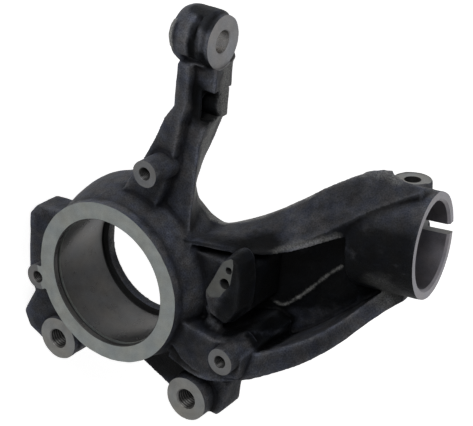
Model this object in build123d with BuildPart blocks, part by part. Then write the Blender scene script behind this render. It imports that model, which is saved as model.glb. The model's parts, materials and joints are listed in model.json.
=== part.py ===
"""Steering knuckle for a strut suspension: one iron casting with machined seats.

Frame: the origin is the centre of the wheel bearing bore, on its outboard face.
+Y runs inboard along the bore, +Z up to the strut clamp, +X to the brake caliper
lugs and -X to the steering arm.
"""

from build123d import *
from math import cos, radians, sin
import os

# Hub: the bearing seat and the body around it
bearing_bore_diameter = 82
hub_face_diameter = 104
hub_rim_diameter = 118
hub_face_band = 7
hub_rim_depth = 37
hub_depth = 56
hub_back_taper = 4
hub_back_chamfer = 2.5
bearing_seat_depth = 46
undercut_width = 3.5
undercut_height = 1.2
back_lip_diameter = 77
circlip_setback = 3
circlip_width = 2.8
circlip_height = 1.8
bore_lead_chamfer = 0.8

# Strut clamp: a split tube with a pinch bolt on its inboard side
clamp_centre_x = -50
clamp_centre_y = 95.3
clamp_top_z = 165.5
clamp_lean_inboard = 5
clamp_lean_fore = 5.5
strut_bore_diameter = 53
clamp_wall = 6
clamp_length = 42
clamp_lead_chamfer = 1.5
clamp_slit_width = 6.5
pinch_bolt_drop = 28
pinch_bolt_gap = 1.5
pinch_clearance_diameter = 10.5
pinch_thread_drill = 8.5
pinch_ear_radius = 12.5
pinch_ear_reach = 26
pinch_spotface_diameter = 20
pinch_spotface_depth = 1.5
pinch_ear_chamfer = 2

# Neck: a channel that opens outboard and swings from the hub to the clamp
neck_root_z = 42
neck_below_clamp_top = 8.5
neck_front_root_y = 20
neck_foot_y = 9
neck_upper_root_x = -37
neck_lower_root_x = 53
neck_front_before_axis = 11
neck_back_behind_axis = 7
neck_upper_beyond_clamp = 2
neck_lower_beyond_clamp = 4.5
upper_rim_width = 6
upper_flange_root = 10
lower_flange_thickness = 16
neck_web_thickness = 9
neck_lower_edge_bevel = 3
neck_upper_edge_bevel = 1.5
channel_start_z = 46
channel_cut_margin = 30

# Steering arm and its tie rod eye
arm_front_y = 18
arm_back_y = 46
arm_recess_depth = 6
arm_root_x = -36
arm_end_x = -145
eye_centre_x = -159
eye_centre_y = 32
eye_top_z = 49
eye_length = 25
eye_body_diameter = 34
eye_face_diameter = 30.4
eye_face_height = 3
eye_shoulder_height = 2
eye_foot_height = 6
eye_foot_inset = 2
tie_rod_small_diameter = 13.2
tie_rod_taper = 10
eye_flat_setback = 15.5
eye_groove_setback = 13
eye_groove_width = 4
eye_groove_drop = 8
stop_pad_x = -121.5
stop_pad_radius = 8.5
stop_pad_inset = 6.5
stop_pad_trim = 4.5
stop_pad_z = 49.5
stop_pocket_depth = 16
stop_pocket_reach = 20
stop_pocket_fore = 9
stop_pocket_aft = 8

# Caliper lugs
caliper_lug_x = 66.7
caliper_lower_z = -49
caliper_spacing = 104
caliper_face_y = 15
caliper_lug_diameter = 28.8
caliper_lug_depth = 30
caliper_thread_drill = 12.5
caliper_thread_lead = 0.4
lug_body_setback = 11

# Dust shield posts around the bearing seat
shield_hole_diameter = 6.8
shield_hole_depth = 14
shield_post_diameter = 16.4
lower_post = (16.4, -54.4)
arm_post = (-81.1, 24.2)
neck_post = (18.8, 86.2)

# Ball joint seat under the hub
seat_front_y = 20
seat_back_y = 41
seat_z = -80
ball_joint_x = 24
ball_joint_bolt_spacing = 60
ball_joint_bolt_drill = 10.2
ball_joint_bolt_depth = 20
ball_joint_crown_diameter = 16
ball_joint_crown_depth = 12

# Wheel speed sensor boss, on the platform between hub and neck
platform_y = 24
platform_upper_x = -31
platform_end_z = 84
sensor_face_y = 15
sensor_bore_diameter = 6.5
sensor_screw_drill = 4.2
sensor_bore_depth = 14
sensor_bore_place = (-22.5, 75)
sensor_screw_place = (-32, 77)

# Cast radii and draft steps
corner_radius = 3
back_bevel = 2
post_rib_radius = 1.5

hub_face_radius = hub_face_diameter / 2
hub_rim_radius = hub_rim_diameter / 2
bearing_bore_radius = bearing_bore_diameter / 2
clamp_radius = strut_bore_diameter / 2 + clamp_wall
caliper_upper_z = caliper_lower_z + caliper_spacing
caliper_lug_radius = caliper_lug_diameter / 2
overlap = 4


def depth_plane(y):
    """Sketch plane seen from outboard, at a depth y: its x is X and its y is Z."""
    return Plane(origin=(0, y, 0), x_dir=(1, 0, 0), z_dir=(0, -1, 0))


def between(start, end, share):
    """The place a share of the way from start to end."""
    return start + (end - start) * share


# The hub, turned about the bore axis
with BuildPart() as hub:
    with BuildSketch(Plane.XY):
        with BuildLine():
            face = Line((0, 0), (hub_face_radius, 0))
            band = Line(face @ 1, (hub_face_radius, hub_face_band))
            flare = Spline(
                band @ 1, (hub_rim_radius, hub_rim_depth), tangents=[(0.35, 1), (0.05, 1)]
            )
            rim = Line(flare @ 1, (hub_rim_radius, hub_rim_depth + overlap))
            taper = Line(rim @ 1, (hub_rim_radius - hub_back_taper, hub_depth))
            back = Line(taper @ 1, (0, hub_depth))
            Line(back @ 1, face @ 0)
        make_face()
    revolve(axis=Axis.Y)
    chamfer(hub.faces().sort_by(Axis.Y)[-1].edges(), hub_back_chamfer)

# The neck: levels rise from the hub to the clamp. At each level an edge of the section
# has swung a share of its way from its place at the root to its place at the top.
neck_top_z = clamp_top_z - neck_below_clamp_top
neck_front_top_y = clamp_centre_y - neck_front_before_axis
neck_back_top_y = clamp_centre_y + neck_back_behind_axis
neck_upper_top_x = clamp_centre_x - clamp_radius - neck_upper_beyond_clamp
neck_lower_top_x = clamp_centre_x + clamp_radius + neck_lower_beyond_clamp
level_shares = (0, 0.2, 0.4, 0.6, 0.8, 1)
front_shares = (0, 0.12, 0.3, 0.51, 0.75, 1)
foot_shares = (0.03, 0, 0.01, 0.33, 0.68, 1)
back_shares = (0, 0.17, 0.37, 0.57, 0.78, 1)
upper_front_shares = (0, 0.02, 0.06, 0.31, 0.69, 1)
upper_back_shares = (0, 0.19, 0.54, 0.93, 1.13, 1.06)
lower_front_shares = (0.2, 0.15, 0.25, 0.34, 0.62, 1)
lower_back_shares = (0.09, 0.09, 0.12, 0.33, 0.66, 1.03)
rim_shares = (0.4, 0.4, 0.45, 0.8, 2.2, 2.8)


def neck_edges(level):
    """Front, foot and back y, then the x of the upper and lower edges at front and back."""
    return (
        between(neck_front_root_y, neck_front_top_y, front_shares[level]),
        between(neck_foot_y, neck_front_top_y, foot_shares[level]),
        between(hub_depth, neck_back_top_y, back_shares[level]),
        between(neck_upper_root_x, neck_upper_top_x, upper_front_shares[level]),
        between(neck_upper_root_x, neck_upper_top_x, upper_back_shares[level]),
        between(neck_lower_root_x, neck_lower_top_x, lower_front_shares[level]),
        between(neck_lower_root_x, neck_lower_top_x, lower_back_shares[level]),
    )


def neck_section(level):
    """Corners of the neck at a level, with its two back edges bevelled."""
    front, foot, back, upper_front, upper_back, lower_front, lower_back = neck_edges(level)
    upper_share = 1 - neck_upper_edge_bevel / (back - front)
    lower_share = 1 - neck_lower_edge_bevel / (back - foot)
    return (
        (upper_front, front),
        (between(upper_front, upper_back, upper_share), back - neck_upper_edge_bevel),
        (upper_back + neck_upper_edge_bevel, back), (lower_back - neck_lower_edge_bevel, back),
        (between(lower_front, lower_back, lower_share), back - neck_lower_edge_bevel),
        (lower_front, foot),
    )


def channel_section(level):
    """Corners of the channel: open in front, with walls that thicken towards the web."""
    front, foot, back, upper_front, upper_back, lower_front, lower_back = neck_edges(level)
    floor = back - neck_web_thickness
    depth_share = (floor - front) / (back - front)
    upper_wall = upper_front + upper_rim_width * rim_shares[level]
    upper_root = between(upper_front, upper_back, depth_share) + upper_flange_root
    return (
        (upper_wall, front - channel_cut_margin), (upper_wall, front), (upper_root, floor),
        (lower_back - lower_flange_thickness, floor), (lower_front - lower_flange_thickness, foot),
        (lower_front - lower_flange_thickness, foot - channel_cut_margin),
    )


def level_plane(level):
    return Plane.XY.offset(between(neck_root_z, neck_top_z, level_shares[level]))


with BuildPart() as neck:
    for level in range(len(level_shares)):
        with BuildSketch(level_plane(level)):
            with BuildLine():
                Polyline(*neck_section(level), close=True)
            make_face()
    loft()

with BuildPart() as channel:
    for level in range(len(level_shares)):
        with BuildSketch(level_plane(level)):
            with BuildLine():
                Polyline(*channel_section(level), close=True)
            make_face()
    loft()
    split(bisect_by=Plane.XY.offset(channel_start_z), keep=Keep.TOP)

# The clamp tube and its pinch bolt ears, square to the strut
strut_axis = Vector(
    -sin(radians(clamp_lean_fore)), sin(radians(clamp_lean_inboard)), cos(radians(clamp_lean_fore))
)
clamp_plane = Plane(
    origin=(clamp_centre_x, clamp_centre_y, clamp_top_z),
    x_dir=(strut_axis.Z, 0, -strut_axis.X),
    z_dir=strut_axis,
)
pinch_bolt_offset = strut_bore_diameter / 2 + pinch_clearance_diameter / 2 + pinch_bolt_gap
pinch_plane = Plane(
    origin=clamp_plane.from_local_coords((0, pinch_bolt_offset, -pinch_bolt_drop)),
    x_dir=clamp_plane.y_dir,
    z_dir=-clamp_plane.x_dir,
)
with BuildPart() as clamp:
    with BuildSketch(clamp_plane):
        Circle(clamp_radius)
    extrude(amount=-clamp_length)

with BuildPart() as ears:
    with BuildSketch(pinch_plane):
        SlotCenterPoint((-pinch_bolt_offset / 2, 0), (0, 0), 2 * pinch_ear_radius)
    extrude(amount=pinch_ear_reach, both=True)
    ear_ends = ears.faces().filter_by(Axis(pinch_plane.origin, pinch_plane.z_dir))
    chamfer(ear_ends.edges(), pinch_ear_chamfer)

# The arm: sections square to X, each with its lowest z, front z and back z. A rail
# stands along its lower side, outboard of the recessed web.
arm_sections = (
    (arm_root_x, -14, 42, 38),
    (-50, -8, 42, 33),
    (-63, -2, 43, 29),
    (-78, 7.5, 43, 33),
    (-97, 16, 44, 40),
    (-110, 21.5, 48, 44.5),
    (-119, 27.5, 52, 47.5),
    (arm_end_x, 28, 52, 48),
)
rail_widths = (30, 28, 27, 22, 17, 13, 10, 10)

with BuildPart() as arm:
    for x, lowest, front_z, back_z in arm_sections:
        with BuildSketch(Plane.YZ.offset(x)):
            with BuildLine():
                Polyline(
                    (arm_front_y + arm_recess_depth, lowest),
                    (arm_front_y + arm_recess_depth, front_z),
                    (arm_back_y, back_z),
                    (arm_back_y, lowest + 2),
                    close=True,
                )
            make_face()
    loft(ruled=True)

with BuildPart() as rail:
    for (x, lowest, front_z, back_z), width in zip(arm_sections, rail_widths):
        with BuildSketch(Plane.YZ.offset(x)):
            with BuildLine():
                Polyline(
                    (arm_front_y, lowest + 1),
                    (arm_front_y, lowest + width - 1),
                    (arm_front_y + arm_recess_depth + overlap, lowest + width + 1),
                    (arm_front_y + arm_recess_depth + overlap, lowest),
                    close=True,
                )
            make_face()
    loft(ruled=True)

# The steering stop: a D-shaped pad in a pocket on the arm's upper side
stop_plane = Plane.XY.offset(stop_pad_z)
with BuildPart() as stop_pad:
    with BuildSketch(stop_plane):
        with Locations((stop_pad_x, arm_back_y - stop_pad_inset)):
            Circle(stop_pad_radius)
        with Locations((stop_pad_x, arm_back_y - stop_pad_trim + stop_pad_radius)):
            Rectangle(3 * stop_pad_radius, 2 * stop_pad_radius, mode=Mode.SUBTRACT)
    extrude(amount=-stop_pocket_depth - overlap)

with BuildPart() as stop_pocket:
    with BuildSketch(stop_plane.offset(overlap)):
        with BuildLine():
            Polyline(
                (stop_pad_x - stop_pocket_aft, arm_back_y + 1),
                (stop_pad_x - stop_pocket_aft, arm_back_y - 0.6 * stop_pocket_reach),
                (stop_pad_x - stop_pocket_aft / 2, arm_back_y - stop_pocket_reach),
                (stop_pad_x + stop_pocket_fore, arm_back_y - stop_pocket_reach),
                (stop_pad_x + stop_pocket_fore, arm_back_y - stop_pocket_reach / 2),
                (stop_pad_x + stop_pocket_fore - 3, arm_back_y + 1),
                close=True,
            )
        make_face()
    extrude(amount=-stop_pocket_depth - overlap)

# The tie rod eye, turned about its upright axis
eye_bottom_z = eye_top_z - eye_length
eye_axis = Axis((eye_centre_x, eye_centre_y, 0), (0, 0, 1))
eye_plane = Plane(origin=(eye_centre_x, eye_centre_y, 0), x_dir=(1, 0, 0), z_dir=(0, -1, 0))
eye_face_radius = eye_face_diameter / 2
eye_body_radius = eye_body_diameter / 2
eye_shoulder_z = eye_top_z - eye_face_height - eye_shoulder_height
with BuildPart() as eye:
    with BuildSketch(eye_plane):
        with BuildLine():
            Polyline(
                (0, eye_bottom_z), (eye_face_radius - eye_foot_inset, eye_bottom_z),
                (eye_body_radius - eye_foot_inset / 3, eye_bottom_z + eye_foot_height / 3),
                (eye_body_radius, eye_bottom_z + eye_foot_height),
                (eye_body_radius, eye_shoulder_z), (eye_face_radius, eye_top_z - eye_face_height),
                (eye_face_radius, eye_top_z), (0, eye_top_z),
                close=True,
            )
        make_face()
    revolve(axis=eye_axis)
    # a flat and a groove on the outboard side, under the head
    with BuildSketch(Plane.XY.offset(eye_shoulder_z)):
        with Locations((eye_centre_x, eye_centre_y - eye_flat_setback - overlap)):
            Rectangle(eye_body_diameter, 2 * overlap)
    extrude(amount=eye_groove_width - eye_groove_drop, mode=Mode.SUBTRACT)
    with BuildSketch(Plane.XY.offset(eye_top_z - eye_groove_drop)):
        with Locations((eye_centre_x, eye_centre_y - eye_groove_setback - overlap)):
            Rectangle(eye_body_diameter - 8, 2 * overlap)
    extrude(amount=-eye_groove_width, mode=Mode.SUBTRACT)

# The lower body: ball joint seat and the web to the lower caliper lug
with BuildPart() as seat:
    with BuildSketch(depth_plane(seat_front_y)):
        with BuildLine():
            FilletPolyline(
                (-24, -44), (-20.5, -74), (-12.5, seat_z), (35, seat_z + 1), (42, seat_z + 6),
                (52, seat_z + 1), (61, seat_z - 3), (71, seat_z + 2), (78, -64), (75, -38),
                (54, -20), (20, -30),
                radius=corner_radius, close=True,
            )
        make_face()
    extrude(amount=seat_front_y - seat_back_y)
    chamfer(seat.faces().sort_by(Axis.Y)[-1].edges(), back_bevel)

# The upper caliper lug: its stepped body and its web to the hub
with BuildPart() as lug_body:
    with BuildSketch(depth_plane(caliper_face_y + lug_body_setback)):
        with BuildLine():
            FilletPolyline(
                (47, 5), (62, 12), (70, 32), (caliper_lug_x + 10, 50), (caliper_lug_x + 10.5, 71),
                (caliper_lug_x + 4, 76), (51, 77), (50, 58), (36, 48),
                radius=corner_radius, close=True,
            )
        make_face()
    extrude(amount=lug_body_setback - caliper_lug_depth)
    chamfer(lug_body.faces().sort_by(Axis.Y)[-1].edges(), back_bevel)

# The platform between hub and neck, and the sensor boss on it
with BuildPart() as platform:
    with BuildSketch(depth_plane(platform_y)):
        with BuildLine():
            FilletPolyline(
                (platform_upper_x, 30), (platform_upper_x, platform_end_z), (-2, platform_end_z),
                (6, 78), (12, 66), (30, 60), (44, 42), (46, 20),
                radius=corner_radius, close=True,
            )
        make_face()
    extrude(amount=platform_y - hub_depth - neck_web_thickness)

# The rib that carries the neck's shield post
with BuildPart() as post_rib:
    with BuildSketch(depth_plane(neck_foot_y)):
        with BuildLine():
            FilletPolyline(
                (10, 50), (13, 74), (neck_post[0] - 8, neck_post[1]), (neck_post[0] - 2, neck_post[1] + 9),
                (32, neck_post[1] + 8), (37, 74), (39, 62), (36, 54), (27, 44),
                radius=post_rib_radius, close=True,
            )
        make_face()
    extrude(amount=neck_foot_y - hub_depth - neck_web_thickness)

with BuildPart() as sensor_boss:
    with BuildSketch(depth_plane(sensor_face_y)):
        with BuildLine():
            FilletPolyline(
                (-12, 62), (-36, 72), (-41, 78), (-37, 83), (-24, 85), (-8, 85), (4, 78), (0, 66),
                radius=corner_radius, close=True,
            )
        make_face()
    extrude(amount=sensor_face_y - platform_y - 2 * overlap, taper=-4)

# The casting: every body joined, with the channel cut from the neck first
with BuildPart() as steering_knuckle:
    add(neck.part)
    add(channel.part, mode=Mode.SUBTRACT)
    add(arm.part)
    add(stop_pocket.part, mode=Mode.SUBTRACT)
    bodies = (
        hub, platform, post_rib, seat, lug_body, rail, stop_pad, eye, clamp, ears, sensor_boss,
    )
    for body in bodies:
        add(body.part)
    with BuildSketch(depth_plane(0)):
        with Locations(lower_post, arm_post, neck_post):
            Circle(shield_post_diameter / 2)
    extrude(amount=-platform_y - overlap)
    with BuildSketch(depth_plane(caliper_face_y)):
        with Locations((caliper_lug_x, caliper_lower_z), (caliper_lug_x, caliper_upper_z)):
            Circle(caliper_lug_radius)
    extrude(amount=-caliper_lug_depth)

    # The bearing seat with its lead, circlip groove, undercut and back lip
    undercut_y = bearing_seat_depth + undercut_width
    undercut_radius = bearing_bore_radius + undercut_height
    groove_end_y = circlip_setback + circlip_width
    groove_radius = bearing_bore_radius + circlip_height
    with BuildSketch(Plane.XY):
        with BuildLine():
            Polyline(
                (0, 0), (bearing_bore_radius + bore_lead_chamfer, 0),
                (bearing_bore_radius, bore_lead_chamfer), (bearing_bore_radius, circlip_setback),
                (groove_radius, circlip_setback), (groove_radius, groove_end_y),
                (bearing_bore_radius, groove_end_y), (bearing_bore_radius, bearing_seat_depth),
                (undercut_radius, bearing_seat_depth), (undercut_radius, undercut_y),
                (back_lip_diameter / 2, undercut_y), (back_lip_diameter / 2, hub_depth),
                (0, hub_depth),
                close=True,
            )
        make_face()
    revolve(axis=Axis.Y, mode=Mode.SUBTRACT)

    # The strut bore with its lead, and the slit behind it
    with BuildSketch(clamp_plane):
        Circle(strut_bore_diameter / 2)
    extrude(amount=-clamp_length - 1, mode=Mode.SUBTRACT)
    with BuildSketch(clamp_plane):
        Circle(strut_bore_diameter / 2 + clamp_lead_chamfer)
    extrude(amount=-clamp_lead_chamfer, taper=45, mode=Mode.SUBTRACT)
    with BuildSketch(clamp_plane.offset(1)):
        with Locations((0, clamp_radius)):
            Rectangle(clamp_slit_width, 2 * clamp_radius)
    extrude(amount=-clamp_length - 2, mode=Mode.SUBTRACT)

    # The pinch bolt: clear through the fore ear, tapped in the other, spotfaced on both
    with BuildSketch(pinch_plane):
        Circle(pinch_clearance_diameter / 2)
    extrude(amount=pinch_ear_reach, mode=Mode.SUBTRACT)
    with BuildSketch(pinch_plane):
        Circle(pinch_thread_drill / 2)
    extrude(amount=-pinch_ear_reach, mode=Mode.SUBTRACT)
    for side in (1, -1):
        with BuildSketch(pinch_plane.offset(side * pinch_ear_reach)):
            Circle(pinch_spotface_diameter / 2)
        extrude(amount=-side * pinch_spotface_depth, mode=Mode.SUBTRACT)

    # The caliper bolt holes, drilled through for their threads
    with BuildSketch(depth_plane(caliper_face_y)):
        with Locations((caliper_lug_x, caliper_lower_z), (caliper_lug_x, caliper_upper_z)):
            Circle(caliper_thread_drill / 2)
    extrude(amount=-caliper_lug_depth, mode=Mode.SUBTRACT)
    with BuildSketch(depth_plane(caliper_face_y)):
        with Locations((caliper_lug_x, caliper_lower_z), (caliper_lug_x, caliper_upper_z)):
            Circle(caliper_thread_drill / 2 + caliper_thread_lead)
    extrude(amount=-caliper_thread_lead, taper=45, mode=Mode.SUBTRACT)

    # The blind holes in the shield posts
    with BuildSketch(depth_plane(0)):
        with Locations(lower_post, arm_post, neck_post):
            Circle(shield_hole_diameter / 2)
    extrude(amount=-shield_hole_depth, mode=Mode.SUBTRACT)

    # The tapered tie rod hole, wider at the bottom
    tie_rod_large_diameter = tie_rod_small_diameter + eye_length / tie_rod_taper
    with BuildSketch(eye_plane):
        with BuildLine():
            Polyline(
                (0, eye_bottom_z), (tie_rod_large_diameter / 2, eye_bottom_z),
                (tie_rod_small_diameter / 2, eye_top_z), (0, eye_top_z),
                close=True,
            )
        make_face()
    revolve(axis=eye_axis, mode=Mode.SUBTRACT)

    # The ball joint seat: two drilled holes and a pocket for the joint's crown
    with BuildSketch(Plane(origin=(ball_joint_x, (seat_front_y + seat_back_y) / 2, seat_z))):
        with GridLocations(ball_joint_bolt_spacing, 1, 2, 1):
            Circle(ball_joint_bolt_drill / 2)
    extrude(amount=ball_joint_bolt_depth, mode=Mode.SUBTRACT)
    with BuildSketch(Plane(origin=(ball_joint_x, (seat_front_y + seat_back_y) / 2, seat_z))):
        Circle(ball_joint_crown_diameter / 2)
    extrude(amount=ball_joint_crown_depth, mode=Mode.SUBTRACT)

    # The sensor's bore and its screw hole
    with BuildSketch(depth_plane(sensor_face_y)):
        with Locations(sensor_bore_place):
            Circle(sensor_bore_diameter / 2)
        with Locations(sensor_screw_place):
            Circle(sensor_screw_drill / 2)
    extrude(amount=-sensor_bore_depth, mode=Mode.SUBTRACT)

steering_knuckle.part.label = "steering_knuckle"
os.makedirs("parts", exist_ok=True)
export_step(steering_knuckle.part, "parts/steering_knuckle.step")
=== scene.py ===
import json

import bmesh
import bpy
import numpy as np
from mathutils import Matrix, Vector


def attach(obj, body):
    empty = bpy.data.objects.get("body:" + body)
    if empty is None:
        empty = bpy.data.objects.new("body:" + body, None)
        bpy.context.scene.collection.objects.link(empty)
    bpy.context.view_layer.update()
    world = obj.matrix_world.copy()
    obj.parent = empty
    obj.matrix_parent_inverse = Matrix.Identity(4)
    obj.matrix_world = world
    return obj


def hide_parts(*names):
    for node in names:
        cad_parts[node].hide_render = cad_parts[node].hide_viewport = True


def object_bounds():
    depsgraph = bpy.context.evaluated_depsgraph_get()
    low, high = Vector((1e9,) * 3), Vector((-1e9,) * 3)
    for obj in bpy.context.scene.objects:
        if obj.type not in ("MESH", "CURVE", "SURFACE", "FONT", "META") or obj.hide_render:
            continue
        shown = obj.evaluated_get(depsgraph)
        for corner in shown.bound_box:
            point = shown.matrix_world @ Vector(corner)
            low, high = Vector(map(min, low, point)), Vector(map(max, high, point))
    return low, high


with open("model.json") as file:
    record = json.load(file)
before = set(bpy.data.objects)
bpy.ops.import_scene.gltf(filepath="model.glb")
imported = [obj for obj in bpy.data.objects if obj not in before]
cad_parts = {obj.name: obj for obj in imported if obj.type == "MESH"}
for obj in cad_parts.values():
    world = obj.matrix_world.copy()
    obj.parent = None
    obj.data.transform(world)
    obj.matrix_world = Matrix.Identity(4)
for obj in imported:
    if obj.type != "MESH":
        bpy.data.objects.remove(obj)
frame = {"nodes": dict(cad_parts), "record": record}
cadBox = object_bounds()
mounts = {m["name"]: m for m in frame["record"]["mounts"]}
mm = 0.001
print("frame loaded, with", len(mounts), "mounts")


# camera: it looks down at the outboard side, rolled so that the arm stands at the top
view = {
    "place": (-0.39317, -0.54004, 0.42415),
    "right": (-0.0855, 0.5618, 0.8228),
    "up": (-0.8924, 0.3241, -0.3140),
    "back": (-0.4431, -0.7611, 0.4737),
    "focalPixels": 1300,
    "imageWidth": 473,
    "sensorWidth": 36,
    "clipStart": 0.01,
}


def addCamera(v):
    # focal length in millimetres = focal length in pixels / image width * sensor width
    lens = bpy.data.cameras.new("camera")
    lens.sensor_width = v["sensorWidth"]
    lens.lens = v["focalPixels"] / v["imageWidth"] * v["sensorWidth"]
    lens.clip_start = v["clipStart"]
    camera = bpy.data.objects.new("camera", lens)
    bpy.context.scene.collection.objects.link(camera)
    turn = Matrix((v["right"], v["up"], v["back"])).transposed()
    camera.matrix_world = Matrix.Translation(v["place"]) @ turn.to_4x4()
    bpy.context.scene.camera = camera


addCamera(view)
print("camera placed")


# helpers for directions, surfaces and meshes
def unit(v):
    # the vector divided by its length
    v = np.array(v, float)
    return v / np.linalg.norm(v)


def squareTo(axis):
    # two unit vectors, square to the axis and to each other
    axis = unit(axis)
    side = np.eye(3)[np.argmin(np.abs(axis))]
    u = unit(np.cross(axis, side))
    return u, np.cross(axis, u)


def gridFaces(rows, columns):
    # quads of a grid of points that closes on itself along its columns
    i, j = np.meshgrid(np.arange(rows - 1), np.arange(columns), indexing="ij")
    k = (j + 1) % columns
    corners = [i * columns + j, i * columns + k, (i + 1) * columns + k, (i + 1) * columns + j]
    return np.stack(corners, -1).reshape(-1, 4)


def spokes(axis, steps):
    # the angles a from 0 to 2 pi, and the directions cos a * u + sin a * v round the axis
    u, v = squareTo(axis)
    a = np.linspace(0, 2 * np.pi, steps, endpoint=False)
    return a, np.cos(a)[:, None] * u + np.sin(a)[:, None] * v


def turned(profile, origin, axis, steps=96):
    # point = origin + height * axis + radius * spoke
    # each profile row is radius, height and the finish of the wall that starts there
    radius, height, finish = np.array(profile, float).T
    axis = unit(axis)
    spin = spokes(axis, steps)[1]
    points = np.array(origin) + height[:, None, None] * axis + radius[:, None, None] * spin
    return points.reshape(-1, 3), [gridFaces(len(radius), steps)], np.repeat(finish[:-1], steps)


def threaded(origin, axis, depth, radius, lead, pitch, height, finish, steps=40, above=4 * mm,
             rowsPerTurn=6):
    # wall radius at depth h and angle a = larger of the lead cone, radius + lead - h, and the thread,
    # radius + height * ridge(h / pitch - a / 2 pi), where ridge(t) = 1 - |2 t - 1| over each turn
    axis = unit(axis)
    a, spin = spokes(axis, steps)
    h = np.unique(np.append(np.linspace(0, depth, int(depth / pitch * rowsPerTurn)), lead))
    turn = (h[:, None] / pitch - a / (2 * np.pi)) % 1
    wall = radius + height * (1 - np.abs(2 * turn - 1))
    wall = np.maximum(wall, radius + lead - h[:, None])
    mouth = np.full((1, steps), radius + lead)
    wall = np.vstack([0 * mouth, mouth, wall, 0 * mouth])
    h = np.concatenate([[-above, -above], h, [depth]])
    points = np.array(origin) - h[:, None, None] * axis + wall[..., None] * spin
    faces = gridFaces(len(h), steps)
    return points.reshape(-1, 3), [faces], np.full(len(faces), finish)


def prism(outline, origin, u, v, axis, top, bottom, finish):
    # a flat outline in u and v, carried along the axis from the bottom to the top height
    outline = np.array(outline, float)
    flat = np.array(origin) + outline[:, :1] * np.array(u) + outline[:, 1:] * np.array(v)
    points = np.concatenate([flat + top * np.array(axis), flat + bottom * np.array(axis)])
    count = len(outline)
    caps = [np.arange(count)[None], count + np.arange(count)[None, ::-1]]
    return points, [gridFaces(2, count)] + caps, np.full(count + 2, finish)


def bead(path, radii, seed=0, unevenness=0.0, steps=10, rows=60):
    # a round bead carried along a smooth path: centre = Catmull-Rom blend of the path's points,
    # radius = blend of the radii, times 1 + unevenness * a random number for each point
    path, radii = np.array(path, float), np.array(radii, float)
    known = np.linspace(0, 1, len(path))
    t = np.linspace(0, 1, rows)
    centre = smoothPath(path, rows)
    radius = np.interp(t, known, radii)
    ahead = np.gradient(centre, axis=0)
    ahead /= np.linalg.norm(ahead, axis=1)[:, None]
    side = np.cross(ahead, squareTo(ahead.mean(0))[0])
    side /= np.linalg.norm(side, axis=1)[:, None]
    other = np.cross(ahead, side)
    a = np.linspace(0, 2 * np.pi, steps, endpoint=False)
    rough = 1 + unevenness * np.random.default_rng(seed).uniform(-1, 1, (rows, steps))
    ring = np.cos(a)[None, :, None] * side[:, None] + np.sin(a)[None, :, None] * other[:, None]
    points = centre[:, None] + (radius[:, None] * rough)[..., None] * ring
    first, last = np.repeat(centre[:1], steps, 0), np.repeat(centre[-1:], steps, 0)
    points = np.concatenate([first, points.reshape(-1, 3), last])
    faces = gridFaces(rows + 2, steps)
    return points, [faces], np.zeros(len(faces))


def smoothPath(path, rows):
    # Catmull-Rom: each span blends its two ends and their neighbours by the cubic weights
    path = np.array(path, float)
    padded = np.concatenate([2 * path[:1] - path[1:2], path, 2 * path[-1:] - path[-2:-1]])
    t = np.linspace(0, len(path) - 1, rows)
    span = np.minimum(t.astype(int), len(path) - 2)
    s = (t - span)[:, None]
    a, b, c, d = (padded[span + k] for k in range(4))
    square, cube = 2 * a - 5 * b + 4 * c - d, 3 * b - a - 3 * c + d
    return 0.5 * (2 * b + (c - a) * s + square * s ** 2 + cube * s ** 3)


def awayFrom(points, path):
    # distance from each point to the nearest span of the path
    path = np.array(path, float)
    nearest = np.full(len(points), np.inf)
    for start, end in zip(path[:-1], path[1:]):
        along = end - start
        share = np.clip((points - start) @ along / (along @ along), 0, 1)
        nearest = np.minimum(nearest, np.linalg.norm(points - start - share[:, None] * along, axis=1))
    return nearest


def meshFrom(name, shells):
    # shells are (points, lists of faces, finishes); doubled points merge and walls turn outwards
    mesh = bpy.data.meshes.new(name)
    offsets = np.cumsum([0] + [len(s[0]) for s in shells])
    points = np.concatenate([s[0] for s in shells])
    faces = []
    for shell, offset in zip(shells, offsets):
        for group in shell[1]:
            faces += (group + offset).tolist()
    mesh.from_pydata(points.tolist(), [], faces)
    mesh.polygons.foreach_set("material_index", np.concatenate([s[2] for s in shells]).astype(np.int32))
    work = bmesh.new()
    work.from_mesh(mesh)
    bmesh.ops.remove_doubles(work, verts=work.verts, dist=1e-6)
    bmesh.ops.recalc_face_normals(work, faces=work.faces)
    work.to_mesh(mesh)
    work.free()
    return linked(name, mesh)


def linked(name, mesh):
    # a new object that shows the mesh
    piece = bpy.data.objects.new(name, mesh)
    bpy.context.scene.collection.objects.link(piece)
    return piece


def applied(piece, name):
    # the piece with its modifiers worked in, as a new object; the old one goes
    graph = bpy.context.evaluated_depsgraph_get()
    mesh = bpy.data.meshes.new_from_object(piece.evaluated_get(graph))
    mesh.name = name
    bpy.data.objects.remove(piece)
    return linked(name, mesh)


def coordinates(mesh):
    # each point as a row of x, y and z in metres
    points = np.empty(len(mesh.vertices) * 3, np.float32)
    mesh.vertices.foreach_get("co", points)
    return points.reshape(-1, 3).astype(float)


def directions(mesh):
    # each point's normal as a row of x, y and z
    normals = np.empty(len(mesh.vertices) * 3, np.float32)
    mesh.vertices.foreach_get("normal", normals)
    return normals.reshape(-1, 3)


# the lattice's random numbers, and how far apart in their table the neighbours along each axis lie
lattice = {"numbers": 4096, "strides": (73, 3541, 1277)}


def latticeNoise(points, cell, seed):
    # value = blend of the random numbers at the eight lattice corners round a point, -1 to 1
    table = np.random.default_rng(seed).uniform(-1, 1, lattice["numbers"])
    base = np.floor(points / cell).astype(int)
    share = points / cell - base
    share = share * share * (3 - 2 * share)
    total = np.zeros(len(points))
    for corner in np.ndindex(2, 2, 2):
        key = (base + np.array(corner)) @ np.array(lattice["strides"])
        total += np.prod(np.where(corner, share, 1 - share), axis=1) * table[key % lattice["numbers"]]
    return total


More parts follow.
